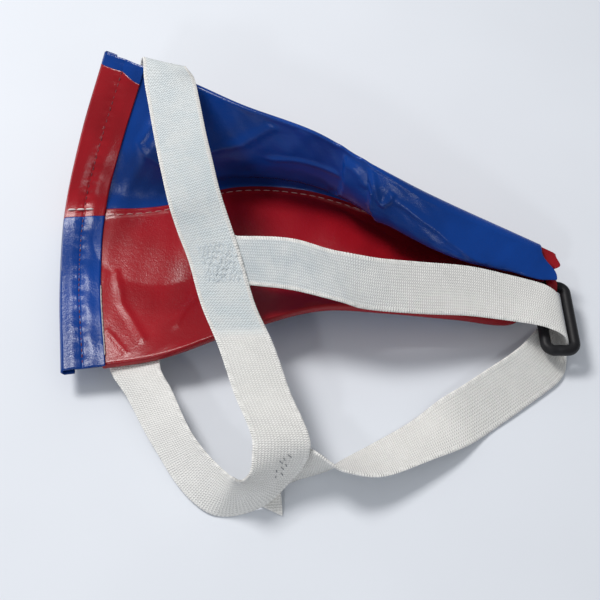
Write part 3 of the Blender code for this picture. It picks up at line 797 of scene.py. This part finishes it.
class GUARD_OT_lining(Operator):
    """Red near half and blue far half of the lining, with its folds and turned-over edges"""
    bl_idname = "guard.lining"
    bl_label = "Lining"

    def execute(self, context):
        depth = context.scene.guard_pouch.fold_depth / MM
        for name, v_lines, edge, reach, slot, node in (
            ("near_lining_hide", near_lines(100), 0, 1.3, "red_hide", "near_lining_red"),
            ("far_lining_hide", far_lines(145), 1, 1.5, "blue_hide", "far_lining_blue"),
        ):
            u, v = lattice(np.linspace(LINING_U[edge], TIP_U, LINING_ROWS), v_lines)
            # The lining's tip is drawn back towards the far edge, and the red cover shows past it
            u = u - 0.36 * smooth(0.80, 1.0, v) * smooth(7.0, TIP_U, u)
            rim = smooth(0, 0.02, np.abs(v - edge))
            v = trimmed(u, v)
            relief = lining_relief(u, v, depth) * rim
            face = pouch_layer(u, v, below_lining=0, relief=relief)
            back = pouch_layer(u, v, below_lining=LINING_THICK, relief=relief)
            turned = wrapped_edge(u[:, -edge], edge, reach, 0.25, LINING_THICK)
            face, back = (
                np.concatenate((flat, turn) if edge else (turn[:, ::-1], flat), axis=1)
                for flat, turn in zip((face, back), turned))
            sheet(name, face, back, hide_of(slot), slot, node)
        return {"FINISHED"}


class GUARD_OT_cover(Operator):
    """Blue near half and red far half of the outer cover, lightly rumpled"""
    bl_idname = "guard.cover"
    bl_label = "Cover"

    def execute(self, context):
        for name, v_lines, slot, node in (
            ("near_cover_hide", near_lines(70), "blue_hide", "near_cover_blue"),
            ("far_cover_hide", far_lines(90), "red_hide", "far_cover_red"),
        ):
            u, v = lattice(np.linspace(TUCK_U + 0.015, TIP_U, COVER_ROWS), v_lines)
            u = u + 0.11 * hump(v, 0.88, 0.075) * smooth(7.2, TIP_U, u)
            rumple = np.sin(u * 5.1 + v * 14) * np.sin(v * 19 - u * 3.3)
            rumple = 0.35 * rumple * smooth(0.52, 0.62, v) * smooth(0.97, 0.90, v)
            v = trimmed(u, v)
            face = pouch_layer(u, v, inside_cover=0, relief=rumple)
            back = pouch_layer(u, v, inside_cover=COVER_THICK, relief=rumple)
            sheet(name, face, back, hide_of(slot), slot, node)
        return {"FINISHED"}


class GUARD_OT_filling(Operator):
    """The foam pads, the hard cup and the seam tape inside the pouch"""
    bl_idname = "guard.filling"
    bl_label = "Filling"

    def execute(self, context):
        foam = finish_of("pale_foam", foam_finish, (0.75, 0.72, 0.6))
        cup = finish_of("cloudy_plastic", cup_finish, (0.6, 0.62, 0.64))
        pad_face = COVER_THICK + LAYER_GAP
        cup_face = pad_face + OUTER_FOAM + LAYER_GAP
        inner_face = cup_face + CUP_WALL + LAYER_GAP
        tape_face = LINING_THICK + LAYER_GAP
        pad = np.linspace(0.75, 7.3, 120), np.linspace(0.14, 0.91, 70)
        middle = np.linspace(1.7, 6.25, 110), np.linspace(0.27, 0.80, 64)
        tape = pad[0], np.linspace(0.46, 0.54, 9)
        tape_finish = sewing_thread("white_thread")
        for name, lines, face, back, finish, slot, node, fill in (
            ("outer_foam", pad, -pad_face - OUTER_FOAM, -pad_face, foam, "foam", "outer_pad", 0.9),
            ("cup_shell", middle, -cup_face - CUP_WALL, -cup_face, cup, "cup_plastic",
             "protective_cup", None),
            ("inner_foam", middle, tape_face + TAPE_THICK + LAYER_GAP, -inner_face, foam, "foam",
             "inner_pad", 0.8),
            ("seam_tape_cloth", tape, tape_face, tape_face + TAPE_THICK, tape_finish, "thread",
             "seam_tape", None),
        ):
            # A depth under the lining where it is positive, and inside the cover where negative
            grids = (
                pouch_layer(*lines, below_lining=depth) if depth > 0
                else pouch_layer(*lines, inside_cover=-depth) for depth in (face, back))
            made = sheet(name, *grids, finish, slot, node)
        return {"FINISHED"}


def hem_strip(v_lines):
    """Outside and inside grids of a hem that runs over the lining from its raw edge, round the
    waist edge in a half circle, and back under it, with a groove along its stitch line."""
    leaf = LAYER_GAP + HEM_THICK
    top_u = np.linspace(HEM_U, 0, 44)
    u, v = lattice(top_u, v_lines)
    v = v - 0.022 * smooth(0.45, HEM_U, u) * hump(v, 0.985, 0.03)
    groove = 0.35 * hump(u, 0.5, 0.03)[..., None]
    full = 0.5 * (hump(u, 0.26, 0.16) + hump(u, 0.74, 0.15))[..., None]
    pucker = 0.13 * (np.sin(v * 190) * hump(u, 0.5, 0.14))[..., None]
    pucker += 0.2 * (np.sin(v * 61 + u * 5) * hump(u, 0.62, 0.3) * smooth(0, 0.15, u))[..., None]
    lining, cover = pouch_faces(u, v)
    up = -unit(cover - lining)
    top_out = lining + up * (leaf - groove + full + pucker)
    top_in = lining + up * (LAYER_GAP - groove * 0.4 + full + pucker)
    tuck_u = np.linspace(0, TUCK_U, 10)
    low_out = pouch_layer(tuck_u, v_lines, inside_cover=0)
    low_in = pouch_layer(tuck_u, v_lines, inside_cover=HEM_THICK)
    outwards = unit(lining[-1] - lining[-2])
    share = np.linspace(0, 1, 9)[1:-1, None, None]
    bow = outwards * np.sin(math.pi * share)
    turn_out = top_out[-1] * (1 - share) + low_out[0] * share + bow * leaf * 1.3
    turn_in = top_in[-1] * (1 - share) + low_in[0] * share + bow * LAYER_GAP
    return (np.concatenate([top_out, turn_out, low_out]),
            np.concatenate([top_in, turn_in, low_in]))


class GUARD_OT_hem(Operator):
    """The turned-over waist hem in its two colours, its blue end, and its pale raw edge"""
    bl_idname = "guard.hem"
    bl_label = "Waist hem"

    def execute(self, context):
        pale = finish_of("pale_backing", foam_finish, (0.55, 0.50, 0.46))
        near_v = np.linspace(-0.012, HEM_JOINT_V - SEAM_SPLIT, 170)
        far_v = np.linspace(HEM_JOINT_V + SEAM_SPLIT, 0.984, 170)
        end_v = np.linspace(0.9865, 1.024, 14)
        pieces = (
            ("near_hem_hide", near_v, "blue_hide", "near_hem_blue"),
            ("far_hem_hide", far_v, "red_hide", "far_hem_red"),
            ("far_hem_end", end_v, "blue_hide", "far_hem_red"),
        )
        for name, v_lines, slot, node in pieces:
            sheet(name, *hem_strip(v_lines), hide_of(slot), slot, node)
        v_lines = np.linspace(0.02, 0.24, 130)
        fray = 0.006 * np.sin(v_lines * 410) * np.sin(v_lines * 157)
        u = HEM_U + np.linspace(0.006, 0.022, 3)[:, None] + fray[None, :] * [[0], [0.5], [1]]
        v = np.broadcast_to(v_lines, u.shape)
        sheet("hem_raw_edge", pouch_layer(u, v, below_lining=-1.0),
              pouch_layer(u, v, below_lining=-0.45), pale, "thread", "near_hem_blue")
        return {"FINISHED"}


class GUARD_OT_stitching(Operator):
    """Stitch lines: along the hem, beside the centre seam, and across the hem's joint"""
    bl_idname = "guard.stitching"
    bl_label = "Stitching"

    def execute(self, context):
        settings = context.scene.guard_pouch
        length = settings.stitch_length / MM
        hem_face = LAYER_GAP + HEM_THICK

        def sew(name, u, v, proud, stitch, gap, radius, colour):
            """Stitches along a line of u, v, so many mm proud of the lining."""
            lining, cover = (face.reshape(-1, 3) for face in pouch_faces(u, v))
            up = -unit(cover - lining)
            thread(name, *stitch_line(lining + up * proud, up, stitch, gap), radius, colour)

        sew("hem_stitches", [0.5], np.linspace(0.0, 0.995, 300), hem_face - 0.30,
            length * 0.8, length * 0.4, 0.25, "dark_red_thread")
        u_lines = np.linspace(HEM_U + 0.06, TIP_U - 0.6, 400)
        relief = lining_relief(u_lines, [0.475], settings.fold_depth / MM)
        sew("seam_stitches", u_lines, [0.475], relief + 0.12,
            length * 1.35, length * 0.5, 0.2, "pink_thread")
        sew("hem_joint_stitches", np.linspace(0.05, HEM_U - 0.1, 60), [0.497], hem_face + 0.75,
            length * 1.6, 0.3, 0.5, "white_thread")
        return {"FINISHED"}


def strap_uv(rows):
    """x across the strap and y along it, both in mm of the strap's own length."""
    across = np.linspace(0, STRAP_WIDTH, rows.shape[1])
    along = distances(rows.mean(axis=1))
    return np.stack(np.broadcast_arrays(across[None, :], along[:, None]), axis=-1)


def strap(name, rows, finish, *nodes, body="pouch", pucker=0.0):
    """An elastic whose middle is the grid of rows, lifted by pucker. Its edges are a little
    fuller, and scalloped by the weft's loops."""
    out = normals(rows)
    share = np.linspace(-1, 1, rows.shape[1])
    run = run_along(rows)[:, None]
    across = unit(rows[:, -1] - rows[:, 0])[:, None]
    rim = (np.abs(share) > 0.99) * np.sign(share)
    loops = 0.10 * np.sin(run * 2 * math.pi / LOOP_STEP + np.sin(run * 0.7)) * rim
    middle = rows + out * np.asarray(pucker)[..., None] + across * loops[..., None]
    half = (STRAP_THICK / 2 * (1 - 0.12 * np.cos(share * math.pi)) * 0.94)[None, :, None]
    return sheet(name, middle + out * half, middle - out * half, finish, "elastic", *nodes,
                 body=body, uv=strap_uv(rows))


def tack_pucker(rows):
    """Small waves of the band where it is sewn: sin a * sin b, fading out round the tack."""
    run = run_along(rows)[:, None] - FAR_TACK_RUN
    across = np.linspace(0, STRAP_WIDTH, rows.shape[1])[None, :]
    waves = np.sin(run * 1.15 + across * 0.55) * np.sin(across * 1.05 - run * 0.35 + 1)
    return 0.34 * waves * hump(run, 0, 12) * smooth(2, 8, across)


class GUARD_OT_waistband(Operator):
    """The elastic waistband, one loop from the far leg edge to under the near one"""
    bl_idname = "guard.waistband"
    bl_label = "Waistband"

    def execute(self, context):
        settings = context.scene.guard_elastic
        finish = finish_of(
            "band_elastic", elastic, tuple(settings.white), settings.rib, SATIN_END * MM)
        rows = band_rows()
        strap("waistband_elastic", rows, finish, "waistband", pucker=tack_pucker(rows))
        return {"FINISHED"}


class GUARD_OT_leg_strap(Operator):
    """The elastic leg strap: sewn under the band, through the ring, and back to the band"""
    bl_idname = "guard.leg_strap"
    bl_label = "Leg strap"

    def execute(self, context):
        settings = context.scene.guard_elastic
        finish = finish_of(
            "strap_elastic", elastic, tuple(settings.white), settings.rib, None, COOL_END * MM)
        rows, sewn = leg_strap_rows(waistband_rows())
        made = strap("leg_strap_elastic", relaxed(rows, sewn), finish, body=None)
        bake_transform(made)
        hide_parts("leg_strap_far", "leg_strap_bight", "leg_strap_near")
        corners = np.array(TAIL_CORNERS, dtype=float).reshape(2, 2, 3)
        share = np.linspace(0, 1, 15)[:, None, None]
        sides = corners[0] * (1 - share) + corners[1] * share
        tail = np.stack([sides[:, 0] * (1 - s) + sides[:, 1] * s for s in share[:, 0]], axis=1)
        lift = np.array([0, 0, STRAP_THICK / 2 * 0.9])
        sheet("leg_strap_tail", tail + lift, tail - lift, finish, "elastic", "leg_strap_near",
              uv=tail[..., :2] + 100)
        return {"FINISHED"}


class GUARD_OT_tacks(Operator):
    """Thread where the leg strap's two ends are sewn to the waistband"""
    bl_idname = "guard.tacks"
    bl_label = "Strap tacks"

    def execute(self, context):
        band = band_rows()
        out, run = normals(band), run_along(band)
        pucker = tack_pucker(band)

        def sew(name, lines, radius, colour, node):
            """Thread along each line, given as runs and places across, just over the band."""
            starts, ends, outward = [], [], []
            for runs, places in lines:
                rows = np.interp(runs, run, np.arange(len(run)))
                columns = places / STRAP_WIDTH * (COLUMNS - 1)
                low_row, low_column = rows.round().astype(int), columns.round().astype(int)
                along, across = spline_weights(len(band), rows), spline_weights(COLUMNS, columns)
                facing = out[low_row, low_column]
                proud = STRAP_THICK / 2 + radius * 0.6 + pucker[low_row, low_column][:, None]
                place = on_surface(along, across, band) + facing * proud
                starts.append(place[:-1])
                ends.append(place[1:])
                outward.append(facing[:-1])
            joined = (np.concatenate(parts) for parts in (starts, ends, outward))
            thread(name, *joined, radius, colour, node, arch=0.08)

        zig = np.arange(0, 34)
        lines = [
            (FAR_TACK_RUN - 9 + 3.0 * row + (zig % 2 - 0.5) * (2.6 + np.sin(row * 5 + zig)),
             5.5 + zig * 0.55 + 0.8 * np.sin(zig * 1.7 + row * 2))
            for row in range(7)
        ]
        share = np.linspace(0, 1, 5)
        lines += [
            (FAR_TACK_RUN - 6 + start * 2.1 + share * 5 + np.sin(start * 4),
             21 - start * 0.7 - share * 6.5 + np.sin(start * 7))
            for start in range(7)
        ]
        sew("far_tack_stitches", lines, 0.12, "cool_thread", "far_strap_tack")
        share = np.linspace(0, 1, 3)
        lines = [
            (NEAR_TACK_RUN - 6 + mark * 1.6 + share * 1.5,
             15.5 - (mark % 3) * 1.7 + share * (2.0 - mark % 2))
            for mark in range(8)
        ]
        # Painted shade: the near tack's stitches are white thread painted dark grey, as if in shade
        sew("near_tack_stitches", lines, 0.2, "grey_thread", "near_strap_tack")
        return {"FINISHED"}


class GUARD_OT_ring(Operator):
    """The moulded ring at the tip"""
    bl_idname = "guard.ring"
    bl_label = "Tip ring"

    def execute(self, context):
        """A circle of the bar's radius carried round a rectangle with round corners."""
        settings = context.scene.guard_ring
        half = np.array([RING_SLOT_WIDTH + RING_BAR, RING_LENGTH]) / 2
        middle = HINGE_IN_GUIDES[:2] - (0, half[1])
        corners = middle + (half - RING_CORNER) * [(1, 1), (-1, 1), (-1, -1), (1, -1)]
        angle = np.radians(np.arange(4)[:, None] * 90 + np.linspace(0, 90, 12))
        arcs = RING_CORNER * np.stack([np.cos(angle), np.sin(angle)], axis=-1)
        outline = (corners[:, None] + arcs).reshape(-1, 2)
        ahead = np.roll(outline, -1, axis=0) - np.roll(outline, 1, axis=0)
        outward = unit(np.stack([ahead[:, 1], -ahead[:, 0]], axis=1))
        turn = np.arange(settings.sides) * 2 * math.pi / settings.sides
        radius = RING_BAR / 2
        flat = outline[:, None, :] + outward[:, None, :] * (radius * np.cos(turn))[None, :, None]
        height = np.broadcast_to(HINGE_IN_GUIDES[2] + radius * np.sin(turn), flat.shape[:2])
        points = np.concatenate([flat, height[..., None]], axis=2)
        finish = finish_of("black_plastic", ring_finish, tuple(settings.black))
        put_mesh("tip_ring_moulding", points, tube_quads(points), finish, "ring_plastic",
                 "tip_ring", body="ring")
        return {"FINISHED"}


class GUARD_OT_tab(Operator):
    """The hide loop that holds the ring's far bar to the pouch's tip"""
    bl_idname = "guard.tab"
    bl_label = "Tip tab"

    def execute(self, context):
        """A strip wrapped round the bar: in each section two radii by angle, the outer one
        drawn out into a flat tongue towards the pouch."""
        steps, across = 72, 13
        angle = np.arange(steps) * 2 * math.pi / steps
        inner = RING_BAR / 2 + TAB_CLEARANCE
        tongue = TAB_THICK / np.maximum(np.abs(np.sin(angle)), 1e-6)
        reach = (inner + TAB_THICK + TAB_TONGUE) / np.maximum(np.cos(angle), 1e-6)
        plain = inner + TAB_THICK
        outer = np.where(
            np.cos(angle) > 0, np.maximum(plain, np.minimum(tongue, reach)), plain)
        x = HINGE_IN_GUIDES[0] + np.linspace(-TAB_WIDTH / 2, TAB_WIDTH / 2, across)
        soft = np.sqrt(np.clip(1 - np.linspace(-1, 1, across) ** 8, 0, 1))
        middle = (inner + outer) / 2
        wall = (outer - inner) / 2
        soft_wall = wall * (0.4 + 0.6 * soft)[:, None]
        radii = np.concatenate([middle + soft_wall, (middle - soft_wall)[::-1]])
        x = np.concatenate([x, x[::-1]])[:, None]
        points = np.stack([
            np.broadcast_to(x, radii.shape),
            HINGE_IN_GUIDES[1] + radii * np.cos(angle),
            HINGE_IN_GUIDES[2] + radii * np.sin(angle),
        ], axis=-1)
        put_mesh("tip_tab_hide", points, tube_quads(points), hide_of("red_hide"), "red_hide",
                 "tip_tab")
        return {"FINISHED"}


class GUARD_OT_stage(Operator):
    """The pale floor, the soft lamps and the camera"""
    bl_idname = "guard.stage"
    bl_label = "Stage"

    def execute(self, context):
        settings = context.scene.guard_stage

        def put(name, data):
            holder = bpy.data.objects.new(name, data)
            context.scene.collection.objects.link(holder)
            return holder

        mesh = bpy.data.meshes.new("floor")
        corners = [(x, y, 0) for x, y in ((-1, -1), (1, -1), (1, 1), (-1, 1))]
        mesh.from_pydata(np.array(corners) * FLOOR_REACH, [], [(0, 1, 2, 3)])
        mesh.materials.append(floor_finish("floor_top", tuple(settings.floor)))
        put("floor", mesh)

        world = bpy.data.worlds.new("surround")
        world.use_nodes = True
        tree = world.node_tree
        background = tree.nodes["Background"]
        background.inputs["Color"].default_value = (0.93, 0.96, 1.0, 1)
        # In a glossy surface the surround looks dimmer, like a studio's dark walls
        path, dimmed = tree.nodes.new("ShaderNodeLightPath"), tree.nodes.new("ShaderNodeMix")
        dimmed.inputs[2].default_value = settings.surround
        dimmed.inputs[3].default_value = settings.surround * GLOSSY_SHARE
        tree.links.new(path.outputs["Is Glossy Ray"], dimmed.inputs[0])
        tree.links.new(dimmed.outputs[0], background.inputs["Strength"])
        context.scene.world = world
        for name, place, size, power, colour in (
            ("key", (-0.62, 0.46, 1.18), 0.40, settings.key, (1.0, 0.98, 0.96)),
            ("fill", (-0.40, -0.95, 0.72), 0.11, settings.key * FILL_LAMP_SHARE,
             (0.95, 0.97, 1.0)),
        ):
            lamp = bpy.data.lights.new(name, "AREA")
            lamp.size, lamp.energy, lamp.color = size, power, colour
            holder = put(name, lamp)
            holder.location = place
            holder.rotation_euler = (-Vector(place)).to_track_quat("-Z", "Y").to_euler()

        camera = bpy.data.cameras.new("camera")
        camera.sensor_width, camera.sensor_fit, camera.lens = 36.0, "HORIZONTAL", CAMERA_LENS
        holder = put("camera", camera)
        elevation = math.radians(CAMERA_ELEVATION)
        holder.location = SHIFT * MM + CAMERA_DISTANCE * np.array(
            [0, -math.cos(elevation), math.sin(elevation)])
        holder.rotation_euler = (math.pi / 2 - elevation, 0, 0)
        context.scene.camera = holder
        context.scene.view_settings.view_transform = "Standard"
        return {"FINISHED"}


class GUARD_PT_panel(Panel):
    """The guard's sizes and colours, and a button for each group of pieces"""
    bl_idname = "GUARD_PT_panel"
    bl_label = "Groin guard"
    bl_space_type = "VIEW_3D"
    bl_region_type = "UI"
    bl_category = "Groin guard"

    def draw(self, context):
        scene = context.scene
        for group in (scene.guard_pouch, scene.guard_elastic, scene.guard_ring, scene.guard_stage):
            box = self.layout.box()
            for name in group.bl_rna.properties.keys():
                if name not in ("rna_type", "name"):
                    box.prop(group, name)
        for operator in OPERATORS:
            self.layout.operator(operator.bl_idname)


GROUPS = (
    ("guard_pouch", GuardPouch), ("guard_elastic", GuardElastic), ("guard_ring", GuardRing),
    ("guard_stage", GuardStage),
)
OPERATORS = (
    GUARD_OT_lining, GUARD_OT_cover, GUARD_OT_filling, GUARD_OT_hem, GUARD_OT_stitching,
    GUARD_OT_waistband, GUARD_OT_leg_strap, GUARD_OT_tacks, GUARD_OT_ring, GUARD_OT_tab,
    GUARD_OT_stage,
)


def register():
    for name, group in GROUPS:
        bpy.utils.register_class(group)
        setattr(bpy.types.Scene, name, PointerProperty(type=group))
    for made in (*OPERATORS, GUARD_PT_panel):
        bpy.utils.register_class(made)


def unregister():
    for made in (GUARD_PT_panel, *reversed(OPERATORS)):
        bpy.utils.unregister_class(made)
    for name, group in reversed(GROUPS):
        delattr(bpy.types.Scene, name)
        bpy.utils.unregister_class(group)


def main():
    register()
    for operator in OPERATORS:
        group, name = operator.bl_idname.split(".")
        getattr(getattr(bpy.ops, group), name)()


if __name__ == "__main__":
    main()
